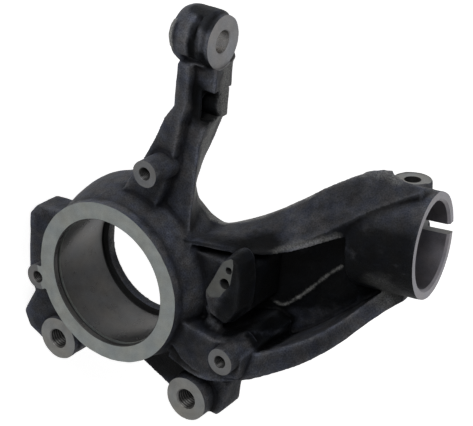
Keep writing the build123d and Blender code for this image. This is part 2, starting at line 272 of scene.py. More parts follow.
# finishes: the order of the casting's material slots
finishCount = 12
(castSkin, ringFinish, boreFinish, lugFinish, threadFinish, clampFinish, eyeFinish, slitFinish, hollowShadeFinish,
 taperFinish, sleeveFinish, facetFinish) = range(finishCount)

# machined places, from the mounts and the frame's own sizes
hub = {"faceRadius": 52, "lipRadius": 38.5, "fillDepth": 51, "cutterReach": 118, "lead": 0.5,
       "circlipFrom": 3, "circlipTo": 5.8, "circlipHeight": 1.8, "seatDepth": 46, "undercutTo": 49.5,
       "undercutHeight": 1.2, "rise": 8, "steps": 224}
posts = {"names": ("shield_hole_lower", "shield_hole_arm", "shield_hole_neck"), "radius": 8.2, "fill": 16,
         "holeDepth": 14, "pitch": 1.25, "threadHeight": 0.6, "lead": 0.7, "faceRadius": 9.5, "faceRise": 3}
lugs = {"radius": 14.4, "fill": 27, "depth": 34, "pitch": 2, "threadHeight": 1.05, "lead": 0.7,
        "faceRadius": 19}
eye = {"faceRadius": 15.6, "length": 25, "holeRadius": 6.6, "taper": 1 / 20, "lead": 0.6, "fillInset": 0.4,
       "backRadius": 20, "backReach": 5}
clamp = {"radius": 32.5, "length": 42, "overcut": 0.3, "fill": 38, "relief": 0.8, "reliefOverlap": 2,
         "lead": 1.5, "faceRadius": 40, "mountDrop": 21.5, "halfSlit": 3.25, "slitReach": 75, "slitRise": 8,
         "slitDepth": 60}
pinch = {"holeRadius": 5.25, "threadRadius": 4.25, "faceRadius": 11.5, "reach": 24.5, "fillInset": 1,
         "boreReach": 60, "overlap": 0.5, "faceRise": 40}
ballJoint = {"depth": 20, "lead": 0.8, "pitch": 1.75, "threadHeight": 0.8, "rise": 6}
sensor = {
    # the machined facet of the sensor boss, in X and Z, and its plane's Y
    "facet": ((-13.6, 62.2), (-10.4, 65.4), (-12.3, 72.2), (-16.3, 74.4), (-23.6, 79), (-36.8, 80), (-41, 79),
              (-36.4, 72.8), (-30.3, 70), (-22.3, 66.8)),
    "faceY": 15.35, "holeDepth": 14, "rise": 12,
}


def place(name):
    # a mount's point and its unit direction
    m = mounts[name]
    return np.array(m["pos_m"]), unit(m["axis"])


def radiusOf(name):
    # a mount's radius in metres
    return mounts[name]["dims"]["r_mm"] * mm


def caliperCentres():
    # the two holes lie half their spacing above and below the mount
    at, axis = place("caliper_bolts")
    half = mounts["caliper_bolts"]["dims"]["spacing_y_mm"] / 2 * mm
    return [at + side * half * np.array([0, 0, 1]) for side in (-1, 1)], axis


def postMouths():
    # each post's name, the mouth of its hole, mount + half its depth * axis, and the axis
    for name in posts["names"]:
        at, axis = place(name)
        yield name, at + posts["holeDepth"] / 2 * mm * axis, axis


def clampTop():
    # the clamp's upper face = its mount + mount drop * axis
    at, axis = place("strut_clamp")
    return at + clamp["mountDrop"] * mm * axis, axis


def pinchMiddle():
    # halfway between the two mounts of the pinch bolt
    clear, axis = place("pinch_bolt_clearance")
    return (clear + place("pinch_bolt_thread")[0]) / 2, axis


def solidTurn(radius, top, bottom, origin, axis, steps=96, finish=castSkin):
    # a plain turned plug between two heights on an axis, in millimetres
    rows = [(0, top, finish), (radius, top, finish), (radius, bottom, finish), (0, bottom, finish)]
    return turned([(r * mm, h * mm, f) for r, h, f in rows], origin, axis, steps)


# the cast blank: the frame's shape with its machined places filled, before any cutting
blank = {
    "voxel": 0.9,
    "smoothing": 2,
    "triangles": 150000,
    "stock": 1.6,               # metal left on for machining
    "unevenness": ((16, 0.3, 3), (5.5, 0.16, 4), (2.6, 0.06, 5)),     # cell, height, seed
    "weightLevels": 8,          # steps in which the soft places fade out
}

# cast details: beads and lumps, as paths of points in millimetres with their radii
castDetails = {
    "webSeam": {"path": ((1, 60.5, 75.5), (6, 62.5, 83), (6.8, 64.5, 89), (-0.7, 67.8, 96.9),
                         (-10, 70.9, 104.5), (-20, 73.9, 112), (-26, 76.5, 118)),
                "radii": (0.9, 1.0, 0.95, 0.95, 0.9, 0.85, 0.5), "unevenness": 0.7},
    "eyeFlash": {"path": ((-169.5, 18.3, 25.4), (-166, 16.9, 24.9), (-162.9, 15.8, 24.9),
                          (-158.7, 15.2, 25.2), (-154, 16, 25.6)), "radii": (0.7, 1.0, 1.1, 1.0, 0.7),
                 "unevenness": 0.15},
    "eyeLobe": {"path": ((-151, 45.5, 44), (-146, 47, 45), (-143, 46, 44)), "radii": (2, 3, 1.5),
                "unevenness": 0.1},
    "earRidge": {"path": ((-84.4, 86, 120), (-85.8, 88, 126), (-86.9, 89.3, 131), (-86.5, 89.7, 135.5),
                          (-84.5, 88.8, 140)), "radii": (1.3, 1.9, 2.1, 1.9, 1.3), "unevenness": 0.3},
    "boss": {"path": ((8, 24, 62), (11, 22, 66), (13, 21, 71)), "radii": (2.5, 3.5, 2.5), "unevenness": 0.4},
    "bossLump": {"path": ((2, 25, 60), (5, 24, 64)), "radii": (2.5, 3), "unevenness": 0.4},
    "lipBump": {"path": ((-6, 53, -39.5), (4, 53, -40), (12, 53, -38)), "radii": (1, 2.2, 1),
                "unevenness": 0.35},
    "valleyFill": {"path": ((-62, 41, 27.2), (-56.4, 42.5, 27.2), (-50.9, 44.5, 28.1), (-44, 49, 29.1),
                            (-38.9, 51, 34.2), (-35.3, 53, 41.7), (-34.5, 55, 49.4)),
                   "radii": (3.8, 4.6, 4.8, 4.9, 4.9, 4.6, 3), "unevenness": 0.0},
    "tubeWeb": {"path": ((-82.6, 92, 156), (-82, 91.6, 152.7), (-81, 90.8, 142.7), (-80, 90, 132.8)),
                "radii": (1.6, 2.8, 3.2, 2.8), "unevenness": 0.0},
}

# cast recesses, as boxes from one corner to the other in millimetres
recesses = {
    "underEye": ((-151, 8, 31), (-146, 26.5, 45)),
    "eyeGroove": ((-174, 5, 36.4), (-150, 24, 41)),
    "stopPocket": ((-131, 20, 42.5), (-112.5, 30, 58)),
}
# the neck stops short of the ear's face: heights under the clamp's top, and the outline's ends
earRelief = {"radius": 33.2, "above": 26.8, "reach": 60, "fore": -3, "aft": 50, "from": 9, "to": -27}

# where the junctions have large cast radii: path, reach in millimetres and rounds of smoothing
softPlaces = {
    "armRoot": {"path": ((-76, 34, 38), (-67, 40, 33), (-59, 42.5, 31.7), (-54.5, 44, 32), (-47.4, 50, 30.8),
                         (-42.8, 51, 36.6), (-39.5, 53.3, 39.1), (-37, 58, 46)), "reach": 14, "rounds": 45},
    "neckRoot": {"path": ((-37, 24, 38), (-38, 36, 44), (-40, 50, 50)), "reach": 9, "rounds": 25},
    "gusset": {"path": ((-66, 66, 138), (-62, 72, 146), (-58, 80, 152)), "reach": 9, "rounds": 16},
    "lowerBody": {"path": ((30, 22, -22), (45, 22, -10), (52, 24, 5)), "reach": 10, "rounds": 20},
    "neckEnd": {"path": ((-84.5, 84, 156), (-84, 91, 156)), "reach": 6, "rounds": 25},
    "stopPocket": {"path": ((-132, 30, 46), (-121, 30, 46), (-111, 30, 46)), "reach": 7, "rounds": 6},
}

# where the moulding flash was ground off: path, half width, strength and how fast it fades
groundPlaces = {
    "arm": {"path": ((-146, 40, 49), (-131, 38, 49), (-118, 36, 49), (-104, 35, 43), (-90, 35, 40),
                     (-76, 37, 37), (-63, 42, 34)), "width": 9, "strength": 0.9, "edge": 2.2},
    "valley": {"path": ((-104, 35, 43), (-88, 31, 41), (-76, 34, 38), (-67, 40, 33), (-59, 42.5, 31.7),
                        (-54.5, 44, 32), (-47.4, 50, 30.8), (-42.8, 51, 36.6), (-39.5, 53.3, 39.1),
                        (-39, 57, 52), (-45, 63, 64), (-53, 69, 76), (-66, 76, 92)), "width": 5,
               "strength": 0.85, "edge": 2.2},
    "neckEdge": {"path": ((-73, 78, 100), (-81, 82, 111), (-89, 88, 124), (-90, 92, 134)), "width": 3,
                 "strength": 0.5, "edge": 2},
}
beadPlaces = {
    "upperRim": {"path": ((-41, 38, 90), (-43.3, 45.2, 98.7), (-48, 50.8, 108.3), (-51.4, 56.4, 118),
                          (-53.5, 58.3, 121.2)), "width": 3.2, "strength": 0.3, "edge": 1.5},
    "webSeam": {"path": castDetails["webSeam"]["path"], "width": 1.3, "strength": 0.6, "edge": 1.5},
    "eyeFlash": {"path": castDetails["eyeFlash"]["path"], "width": 1.5, "strength": 1.0, "edge": 3},
    "gusset": {"path": ((-30, 68, 149), (-20, 72, 152), (-8, 80, 157)), "width": 12, "strength": 0.2,
               "edge": 1.5},
    "earRidge": {"path": castDetails["earRidge"]["path"], "width": 4.5, "strength": 0.35, "edge": 1.5},
    "lipBump": {"path": castDetails["lipBump"]["path"], "width": 3.5, "strength": 0.7, "edge": 2},
}

# painted shade where the skin lies in shade: the same values, and the side that a place faces
paintedShadePlaces = {
    "channel": {"path": ((-8, 60, 72), (-10, 64, 92), (-15, 70, 106), (-24, 76, 120), (-34, 80, 134)),
                "width": 29, "strength": 0.95, "edge": 3},
    "channelFoot": {"path": ((22, 40, 84), (12, 52, 86), (0, 60, 88)), "width": 15, "strength": 0.85,
                    "edge": 2.5},
    "trench": {"path": ((-33, 30, 52), (-36, 34, 66), (-36, 42, 80), (-34, 50, 90)), "width": 9,
               "strength": 0.9, "edge": 2},
    "tube": {"path": ((-46, 92, 122), (-50, 95, 168)), "width": 42, "strength": 0.94, "edge": 6,
             "toward": (0.55, -0.83, 0.1)},
    "sensorBoss": {"path": ((-36, 22, 84), (-14, 22, 84), (0, 18, 82)), "width": 15, "strength": 0.9,
                   "edge": 3},
    "blockSide": {"path": ((-34, 40, 84), (-22, 50, 84), (-10, 44, 84)), "width": 20, "strength": 0.92,
                  "edge": 3},
    "barrelSide": {"path": ((10, 20, 78), (12, 34, 84), (13.5, 48, 90), (16, 64, 93)), "width": 8,
                   "strength": 0.95, "edge": 2},
    "barrelTop": {"path": ((13, 27, 92), (19, 36, 95), (25, 50, 95), (30, 66, 97)), "width": 8,
                  "strength": 0.93, "edge": 2.5},
    "flangeLine": {"path": ((-37, 20, 42), (-38, 27.7, 65), (-39.9, 39.3, 88), (-51.7, 52.8, 111),
                            (-69.8, 68.2, 134), (-84.5, 84.3, 157)), "width": 1.5, "strength": 0.85,
                   "edge": 2},
    "armLine": {"path": ((-146, 24, 37.5), (-131, 24, 38), (-119, 24, 38.5), (-108, 24, 36)), "width": 1.6,
                "strength": 0.85, "edge": 2},
    "hubSide": {"path": ((20, 26, 58), (46, 26, 42), (62, 30, 12)), "width": 24, "strength": 0.88,
                "edge": 1.8},
    "hubTop": {"path": ((-30, 24, 56), (-12, 24, 66), (8, 22, 66)), "width": 12, "strength": 0.6, "edge": 2},
    "eyeHead": {"path": ((-175, 34, 40), (-168, 46, 42)), "width": 13, "strength": 0.5, "edge": 2},
    "headTop": {"path": ((-176, 27, 34), (-176, 26, 42), (-172, 20, 45.5)), "width": 7, "strength": 0.8,
                "edge": 2.5},
    "headGroove": {"path": ((-174, 21, 39), (-170, 17.5, 39), (-163, 15, 39), (-155, 15.5, 39),
                            (-150, 18, 39)), "width": 3.4, "strength": 0.95, "edge": 3},
    "headUnder": {"path": ((-153, 17, 44), (-150, 18, 44.5), (-148, 22, 47)), "width": 4.5, "strength": 0.9,
                  "edge": 2.5},
    "pocket": {"path": ((-129, 29, 41), (-115, 29, 43)), "width": 10, "strength": 0.95, "edge": 3},
}


def stockShells():
    # plugs that fill each machined hole and stand proud of each machined face
    stock = blank["stock"]
    rows = [(hub["lipRadius"], stock), (hub["faceRadius"], stock), (hub["faceRadius"], -hub["fillDepth"]),
            (hub["lipRadius"], -hub["fillDepth"]), (hub["lipRadius"], stock)]
    shells = [turned([(r * mm, h * mm, castSkin) for r, h in rows], (0, 0, 0), (0, -1, 0), steps=128)]
    for name in posts["names"]:
        at, axis = place(name)
        top = posts["holeDepth"] / 2
        shells.append(solidTurn(posts["radius"], top + stock, -posts["fill"], at, axis, steps=48))
    centres, axis = caliperCentres()
    for centre in centres:
        shells.append(solidTurn(lugs["radius"], stock, -lugs["fill"], centre, axis))
    at, axis = place("tie_rod_taper")
    shells.append(solidTurn(eye["faceRadius"] - eye["fillInset"], stock, -eye["length"] - stock, at, -axis))
    middle, across = pinchMiddle()
    end = pinch["reach"] + stock
    shells.append(solidTurn(pinch["faceRadius"] - pinch["fillInset"], end, -end, middle, across, steps=64))
    top, axis = clampTop()
    shells.append(solidTurn(clamp["radius"], stock, -clamp["fill"], top, axis, steps=128))
    return shells


def applyCut(piece, shells, name):
    # the piece less the shells' volume; a cut wall takes the material slot of its shell
    cutter = meshFrom("cutter", shells)
    for material in piece.data.materials:
        cutter.data.materials.append(material)
    cut = piece.modifiers.new("cut", "BOOLEAN")
    cut.object = cutter
    cut.operation = "DIFFERENCE"
    cut.solver = "MANIFOLD"
    piece = applied(piece, "knuckleCasting")
    bpy.data.objects.remove(cutter)
    print(name, "cut:", len(piece.data.polygons), "faces")
    return piece


def box(low, high):
    # a rectangle in X and Z, carried along Y, between two corners in millimetres
    low, high = np.array(low) * mm, np.array(high) * mm
    outline = ((low[0], low[2]), (high[0], low[2]), (high[0], high[2]), (low[0], high[2]))
    return prism(outline, (0, 0, 0), (1, 0, 0), (0, 0, 1), (0, 1, 0), high[1], low[1], castSkin)


def earReliefCutter():
    # outline in the clamp's plane: out along the ear's face, round, and back along the tube
    top, axis = clampTop()
    across = place("pinch_bolt_clearance")[1]
    back = np.cross(axis, -across)
    r = earRelief
    start, end = np.arccos(r["above"] / r["radius"]), np.arcsin(r["fore"] / r["radius"])
    a = np.linspace(start, end, 16)
    arc = np.stack([r["radius"] * np.cos(a), r["radius"] * np.sin(a)], 1)
    rest = [(r["reach"], r["fore"]), (r["reach"], r["aft"]), (r["above"], r["aft"])]
    outline = np.concatenate([arc, rest]) * mm
    return prism(outline, top, across, back, axis, r["from"] * mm, r["to"] * mm, castSkin)


def carvedFrame():
    # the frame's solid, merged from its loose triangles, with the cast recesses cut in
    work = bmesh.new()
    work.from_mesh(frame["nodes"]["steering_knuckle"].data)
    bmesh.ops.remove_doubles(work, verts=work.verts, dist=1e-6)
    mesh = bpy.data.meshes.new("carved")
    work.to_mesh(mesh)
    work.free()
    mesh.materials.clear()
    shells = [box(*corners) for corners in recesses.values()] + [earReliefCutter()]
    return applyCut(linked("carved", mesh), shells, "recesses")


def castBlank():
    # skin = remesh of (carved frame + stock + details), then smoothing, unevenness and thinning
    shells = stockShells()
    for seed, detail in enumerate(castDetails.values()):
        path, radii = np.array(detail["path"]) * mm, np.array(detail["radii"]) * mm
        shells.append(bead(path, radii, seed, detail["unevenness"]))
    stockPiece = meshFrom("stock", shells)
    carvedPiece = carvedFrame()
    work = bmesh.new()
    work.from_mesh(carvedPiece.data)
    work.from_mesh(stockPiece.data)
    mesh = bpy.data.meshes.new("blank")
    work.to_mesh(mesh)
    work.free()
    bpy.data.objects.remove(carvedPiece)
    bpy.data.objects.remove(stockPiece)
    piece = linked("blank", mesh)
    skin = piece.modifiers.new("skin", "REMESH")
    skin.mode = "VOXEL"
    skin.voxel_size = blank["voxel"] * mm
    piece = applied(piece, "casting")

    # cast radii: light smoothing all over, and more where large radii join the bodies, by the
    # weight 1 - distance / reach, in steps
    points, levels = coordinates(piece.data), blank["weightLevels"]
    rounding = piece.modifiers.new("rounding", "SMOOTH")
    rounding.iterations = blank["smoothing"]
    for name, soft in softPlaces.items():
        away = awayFrom(points, np.array(soft["path"]) * mm)
        weight = np.clip(1 - away / (soft["reach"] * mm), 0, 1)
        group = piece.vertex_groups.new(name=name)
        for level in range(1, levels + 1):
            chosen = np.flatnonzero(np.round(weight * levels) == level)
            group.add(chosen.tolist(), level / levels, "REPLACE")
        blend = piece.modifiers.new(name, "SMOOTH")
        blend.iterations = soft["rounds"]
        blend.vertex_group = name
    piece = applied(piece, "casting")
    piece.vertex_groups.clear()

    # cast unevenness: each point moves along its normal by the sum of the noises
    mesh = piece.data
    points = coordinates(mesh)
    shift = sum(height * mm * latticeNoise(points, cell * mm, seed)
                for cell, height, seed in blank["unevenness"])
    points += directions(mesh) * shift[:, None]
    mesh.vertices.foreach_set("co", points.astype(np.float32).ravel())
    mesh.update()
    thin = piece.modifiers.new("thin", "DECIMATE")
    thin.ratio = min(1, blank["triangles"] / (2 * len(mesh.polygons)))
    print("cast blank:", len(mesh.polygons), "faces")
    return applied(piece, "casting")


casting = castBlank()


# cutters: each is the space that a tool sweeps
def hubCutter():
    # one turn of the tool's rows: face, lead, circlip groove, bearing seat and undercut
    r, rise, reach = mounts["hub_bore"]["dims"]["r_mm"], hub["rise"], hub["cutterReach"]
    groove, seat, undercut = r + hub["circlipHeight"], hub["seatDepth"], r + hub["undercutHeight"]
    # the lead, the circlip groove, the seat's end, the undercut and the lip take the near-black finish:
    # painted shade
    rows = [
        (0, rise, ringFinish), (reach, rise, ringFinish), (reach, 0, ringFinish),
        (r + hub["lead"], 0, hollowShadeFinish), (r, -hub["lead"], boreFinish),
        (r, -hub["circlipFrom"], hollowShadeFinish), (groove, -hub["circlipFrom"], hollowShadeFinish),
        (groove, -hub["circlipTo"], ringFinish), (r, -hub["circlipTo"], boreFinish),
        (r, -seat, hollowShadeFinish), (undercut, -seat, hollowShadeFinish),
        (undercut, -hub["undercutTo"], hollowShadeFinish), (0, -hub["undercutTo"], hollowShadeFinish),
    ]
    rows = [(radius * mm, height * mm, finish) for radius, height, finish in rows]
    return turned(rows, (0, 0, 0), (0, -1, 0), hub["steps"])


def facing(radius, rows, origin, axis, finish, steps=96, rise=5):
    # a disc of air above a face, then the rows of the hole below it, in millimetres
    rows = [(0, rise, finish), (radius, rise, finish), (radius, 0, finish)] + rows
    return turned([(r * mm, h * mm, f) for r, h, f in rows], origin, axis, steps)


def faceCutters():
    # the lug and post faces, the eye's two faces with its taper, radius = small + length / 20, and the
    # clamp's face with its bore
    shells = []
    centres, axis = caliperCentres()
    for centre in centres:
        shells.append(facing(lugs["faceRadius"], [(0, 0, lugFinish)], centre, axis, lugFinish))
    for name, mouth, axis in postMouths():
        shells.append(facing(posts["faceRadius"], [(0, 0, lugFinish)], mouth, axis, lugFinish, steps=48,
                             rise=posts["faceRise"]))
    at, axis = place("tie_rod_taper")
    small, long, back = eye["holeRadius"], eye["length"], eye["backRadius"]
    large, end = small + long * eye["taper"], -long - eye["backReach"]
    # the taper's wall is light for a glint, a painted highlight
    rows = [(small + eye["lead"], 0, eyeFinish), (small, -eye["lead"], taperFinish),
            (large, -long, eyeFinish), (back, -long, eyeFinish), (back, end, eyeFinish), (0, end, eyeFinish)]
    shells.append(facing(eye["faceRadius"], rows, at, -axis, eyeFinish))
    top, axis = clampTop()
    r = mounts["strut_clamp"]["dims"]["r_mm"]
    depth, wide = clamp["length"] + clamp["overcut"], r + clamp["relief"]
    foot = clamp["reliefOverlap"] - clamp["fill"]
    rows = [(r + clamp["lead"], 0, clampFinish), (r, -clamp["lead"], sleeveFinish), (r, foot, sleeveFinish),
            (wide, foot, sleeveFinish), (wide, -depth, sleeveFinish), (0, -depth, sleeveFinish)]
    shells.append(facing(clamp["faceRadius"], rows, top, axis, clampFinish, steps=160))
    return shells


def drills():
    # the threaded holes of posts, lugs and ball joint seat, and the two plain holes of the sensor boss
    shells = []
    for name, mouth, axis in postMouths():
        shells.append(threaded(mouth, axis, posts["holeDepth"] * mm, radiusOf(name), posts["lead"] * mm,
                               posts["pitch"] * mm, posts["threadHeight"] * mm, threadFinish, steps=32))
    centres, axis = caliperCentres()
    r = mounts["caliper_bolts"]["dims"]["hole_r_mm"] * mm
    for centre in centres:
        shells.append(threaded(centre, axis, lugs["depth"] * mm, r, lugs["lead"] * mm, lugs["pitch"] * mm,
                               lugs["threadHeight"] * mm, threadFinish))
    # the sensor holes' walls take the near-black finish: painted shade
    for name in ("sensor_bore", "sensor_screw"):
        at, axis = place(name)
        r = mounts[name]["dims"]["r_mm"]
        shells.append(solidTurn(r, sensor["rise"], -sensor["holeDepth"] / 2, at, axis, steps=32,
                                finish=hollowShadeFinish))
    at, axis = place("ball_joint_bolts")
    half = mounts["ball_joint_bolts"]["dims"]["spacing_x_mm"] / 2 * mm
    r = mounts["ball_joint_bolts"]["dims"]["hole_r_mm"] * mm
    for side in (-1, 1):
        centre = at + side * half * np.array([1, 0, 0])
        shells.append(threaded(centre, axis, ballJoint["depth"] * mm, r, ballJoint["lead"] * mm,
                               ballJoint["pitch"] * mm, ballJoint["threadHeight"] * mm, threadFinish,
                               steps=32, above=ballJoint["rise"] * mm))
    return shells


def pinchCutters():
    # the clear bore from the middle outwards, the tapped one the other way, and a spotface on each ear
    middle, axis = pinchMiddle()
    far = pinch["boreReach"]
    # the clear bore's wall takes the near-black finish: painted shade
    bores = [solidTurn(pinch["holeRadius"], far, 0, middle, axis, steps=40, finish=hollowShadeFinish),
             solidTurn(pinch["threadRadius"], pinch["overlap"], -far, middle, axis, steps=40,
                       finish=threadFinish)]
    spotfaces = [solidTurn(pinch["faceRadius"], pinch["faceRise"], pinch["reach"], middle, side * axis,
                           steps=56, finish=lugFinish) for side in (-1, 1)]
    return bores, spotfaces


def slitCutter():
    # a flat saw blade from the bore's axis out between the ears, square to the pinch bolt
    top, axis = clampTop()
    out = unit(place("pinch_bolt_clearance")[0] - place("strut_clamp")[0])
    across = place("pinch_bolt_clearance")[1]
    out = unit(out - (out @ axis) * axis - (out @ across) * across)
    half, reach = clamp["halfSlit"] * mm, clamp["slitReach"] * mm
    outline = ((0, -half), (reach, -half), (reach, half), (0, half))
    rise, depth = clamp["slitRise"] * mm, clamp["slitDepth"] * mm
    return prism(outline, top, out, across, axis, rise, -depth, slitFinish)


def facetCutter():
    # the facet's outline, carried outboard from its plane
    outline, face, rise = np.array(sensor["facet"]) * mm, sensor["faceY"] * mm, sensor["rise"] * mm
    return prism(outline, (0, face, 0), (1, 0, 0), (0, 0, 1), (0, -1, 0), rise, 0, facetFinish)


def machine(piece):
    # the blank less each cutter in turn, then held just inside the CAD box
    margin = 0.01 * mm
    for finish in range(finishCount):
        piece.data.materials.append(bpy.data.materials.new("finish%d" % finish))
    bores, spotfaces = pinchCutters()
    piece = applyCut(piece, [hubCutter()], "hub")
    piece = applyCut(piece, faceCutters() + [facetCutter()], "faces")
    piece = applyCut(piece, spotfaces, "spotfaces")
    piece = applyCut(piece, drills() + bores, "holes")
    piece = applyCut(piece, [slitCutter()], "slit")
    points = np.clip(coordinates(piece.data), np.array(cadBox[0]) + margin, np.array(cadBox[1]) - margin)
    piece.data.vertices.foreach_set("co", points.astype(np.float32).ravel())
    piece.data.update()
    return piece


casting = machine(casting)


# how the marks spread: rows of the fray are cell, height and seed; rises and starts are the slopes and
# offsets of the limits below, and the hollows are found by rounds of smoothing
marks = {"fray": ((4, 0.25, 11), (1.6, 0.15, 12)), "paintedShadeFray": 0.4, "paintedShadeStart": 1.5, "paintedShadeFall": 3,
         "groundRise": 2.5, "groundStart": 0.5, "towardRise": 2, "pathRows": 60, "hollowRounds": 30,
         "hollowDepth": 0.5, "sharpAngle": 40}


def painted(points, normals, spots, fray):
    # strength * edge * (1 - distance / width + fray) within 0 and strength, the largest of the places;
    # a place with a direction is only painted where the surface faces that way
    amount = np.zeros(len(points))
    for spot in spots.values():
        path = smoothPath(np.array(spot["path"]) * mm, marks["pathRows"])
        away = awayFrom(points, path) / (spot["width"] * mm)
        share = spot["strength"] * np.clip(spot["edge"] * (1 - away + fray), 0, 1)
        if "toward" in spot:
            share = share * np.clip(marks["towardRise"] * normals @ unit(spot["toward"]), 0, 1)
        amount = np.maximum(amount, share)
    return amount


def hollowness(piece, rounds, depth):
    # how far smoothing lifts each point along its normal, as a share of the depth:
    # above 0 in hollows, below 0 on edges
    mesh = piece.data
    points, normals = coordinates(mesh), directions(mesh)
    twin = linked("twin", mesh.copy())
    relax = twin.modifiers.new("relax", "SMOOTH")
    relax.iterations = rounds
    twin = applied(twin, "twin")
    lift = ((coordinates(twin.data) - points) * normals).sum(1)
    bpy.data.objects.remove(twin)
    return np.clip(lift / (depth * mm), -1, 1)


def markSurface(piece):
    # the three values of each point that castMaterial reads: ground metal, painted shade and hollowness
    points, normals = coordinates(piece.data), directions(piece.data)
    fray = sum(height * latticeNoise(points, cell * mm, seed) for cell, height, seed in marks["fray"])
    # painted shade, kept off the sides that face +Y: shade * (start - fall * normal's Y)
    paintedShade = painted(points, normals, paintedShadePlaces, marks["paintedShadeFray"] * fray)
    paintedShade = paintedShade * np.clip(marks["paintedShadeStart"] - marks["paintedShadeFall"] * normals[:, 1], 0, 1)
    # the flash stood on the sides that face +Z and -X: rise * the larger of the two - start
    upward = np.maximum(normals[:, 2], -normals[:, 0])
    flashSide = np.clip(marks["groundRise"] * upward - marks["groundStart"], 0, 1)
    ground = painted(points, normals, groundPlaces, fray) * flashSide * (1 - paintedShade)
    values = {"ground": np.maximum(ground, painted(points, normals, beadPlaces, fray)), "paintedShade": paintedShade,
              "hollow": hollowness(piece, marks["hollowRounds"], marks["hollowDepth"])}
    for name, value in values.items():
        layer = piece.data.attributes.new(name, "FLOAT", "POINT")
        layer.data.foreach_set("value", value.astype(np.float32))


markSurface(casting)
casting.data.shade_smooth()
casting.data.set_sharp_from_angle(angle=np.radians(marks["sharpAngle"]))
print("surface marked")


# materials
def newMaterial(name):
    # an empty node tree with its shader on the output
    material = bpy.data.materials.new(name)
    material.use_nodes = True
    nodes, links = material.node_tree.nodes, material.node_tree.links
    nodes.clear()
    out = nodes.new("ShaderNodeOutputMaterial")
    shader = nodes.new("ShaderNodeBsdfPrincipled")
    links.new(shader.outputs[0], out.inputs[0])
    return material, nodes, links, shader


def noise(nodes, links, where, size, detail=3, roughness=0.55):
    # noise with features of about the given size in millimetres
    node = nodes.new("ShaderNodeTexNoise")
    node.inputs["Scale"].default_value = 1 / (size * mm)
    node.inputs["Detail"].default_value = detail
    node.inputs["Roughness"].default_value = roughness
    links.new(where, node.inputs["Vector"])
    return node.outputs[0]


def ramp(nodes, links, value, stops):
    # the colour at the value, blended between stops of position and colour
    node = nodes.new("ShaderNodeValToRGB")
    ends = node.color_ramp.elements
    ends[0].position, ends[0].color = stops[0][0], (*stops[0][1], 1)
    ends[1].position, ends[1].color = stops[-1][0], (*stops[-1][1], 1)
    for position, color in stops[1:-1]:
        ends.new(position).color = (*color, 1)
    links.new(value, node.inputs[0])
    return node.outputs[0]


def ranged(nodes, links, value, low, high, start=0.0, end=1.0):
    # low + (high - low) * (value - start) / (end - start), within low and high
    node = nodes.new("ShaderNodeMapRange")
    node.inputs["From Min"].default_value, node.inputs["From Max"].default_value = start, end
    node.inputs["To Min"].default_value, node.inputs["To Max"].default_value = low, high
    links.new(value, node.inputs["Value"])
    return node.outputs[0]


def mixed(nodes, links, share, first, second, blend="MIX"):
    # share 0 gives the first colour, share 1 the second, or their product when multiplied
    node = nodes.new("ShaderNodeMix")
    node.data_type = "RGBA"
    node.blend_type = blend
    for socket, value in ((node.inputs["Factor"], share), (node.inputs[6], first), (node.inputs[7], second)):
        if isinstance(value, bpy.types.NodeSocket):
            links.new(value, socket)
        elif isinstance(value, tuple):
            socket.default_value = (*value, 1)
        else:
            socket.default_value = value
    return node.outputs[2]


def mathNode(nodes, links, operation, first, second=None):
    # the named operation on one or two numbers
    node = nodes.new("ShaderNodeMath")
    node.operation = operation
    for socket, value in zip(node.inputs, (first, second)):
        if isinstance(value, bpy.types.NodeSocket):
            links.new(value, socket)
        elif value is not None:
            socket.default_value = value
    return node.outputs[0]


def vectorNode(nodes, links, operation, first, second=None):
    # the named operation on one vector, or on it and a fixed one
    node = nodes.new("ShaderNodeVectorMath")
    node.operation = operation
    links.new(first, node.inputs[0])
    if second is not None:
        node.inputs[1].default_value = second
    return node.outputs["Value" if operation in ("DOT_PRODUCT", "LENGTH") else "Vector"]


def vectorScaled(nodes, links, color, factor):
    # colour * factor
    node = nodes.new("ShaderNodeVectorMath")
    node.operation = "SCALE"
    links.new(color, node.inputs[0])
    links.new(factor, node.inputs["Scale"])
    return node.outputs[0]


def bump(nodes, links, height, distance, strength=1.0, under=None):
    # a normal tilted by the height's slope, on top of another bump
    node = nodes.new("ShaderNodeBump")
    node.inputs["Distance"].default_value = distance * mm
    node.inputs["Strength"].default_value = strength
    links.new(height, node.inputs["Height"])
    if under is not None:
        links.new(under, node.inputs["Normal"])
    return node.outputs[0]


def attribute(nodes, name):
    # one of the values that markSurface writes
    node = nodes.new("ShaderNodeAttribute")
    node.attribute_name = name
    return node.outputs["Fac"]


# the cast skin: noises are size in millimetres, detail and roughness, stops are a noise's value and its
# colour, and bumps are height in millimetres and strength
white = (1, 1, 1)
skinLook = {
    "patch": (13, 5, 0.62), "grain": (0.9, 4, 0.65), "tintPatch": (9, 5, 0.6), "pits": (2.6, 3),
    "patchStops": ((0.34, (0.023, 0.024, 0.028)), (0.5, (0.030, 0.031, 0.035)),
                   (0.68, (0.039, 0.040, 0.044))),
    "tintStops": ((0.36, (1.06, 1.0, 0.94)), (0.48, white), (0.64, (0.93, 0.98, 1.14))),
    "grainShade": (0.5, 1.5, 0.3, 0.7), "roughness": (0.42, 0.62), "specular": 0.035,
    "groundStops": ((0.38, (0.085, 0.085, 0.085)), (0.62, (0.26, 0.26, 0.25))),
    # painted shade in hollows, and edges lighter partly as wear and partly as painted highlight
    "hollowStops": ((0.1, (2.0, 2.0, 2.0)), (0.5, white), (0.9, (0.3, 0.3, 0.32))),
    # the colour that the painted shade multiplies in
    "paintedShadeTint": (0.035, 0.04, 0.04), "pitBump": (0.6, 0.6), "grainBump": (0.3, 0.9),
}


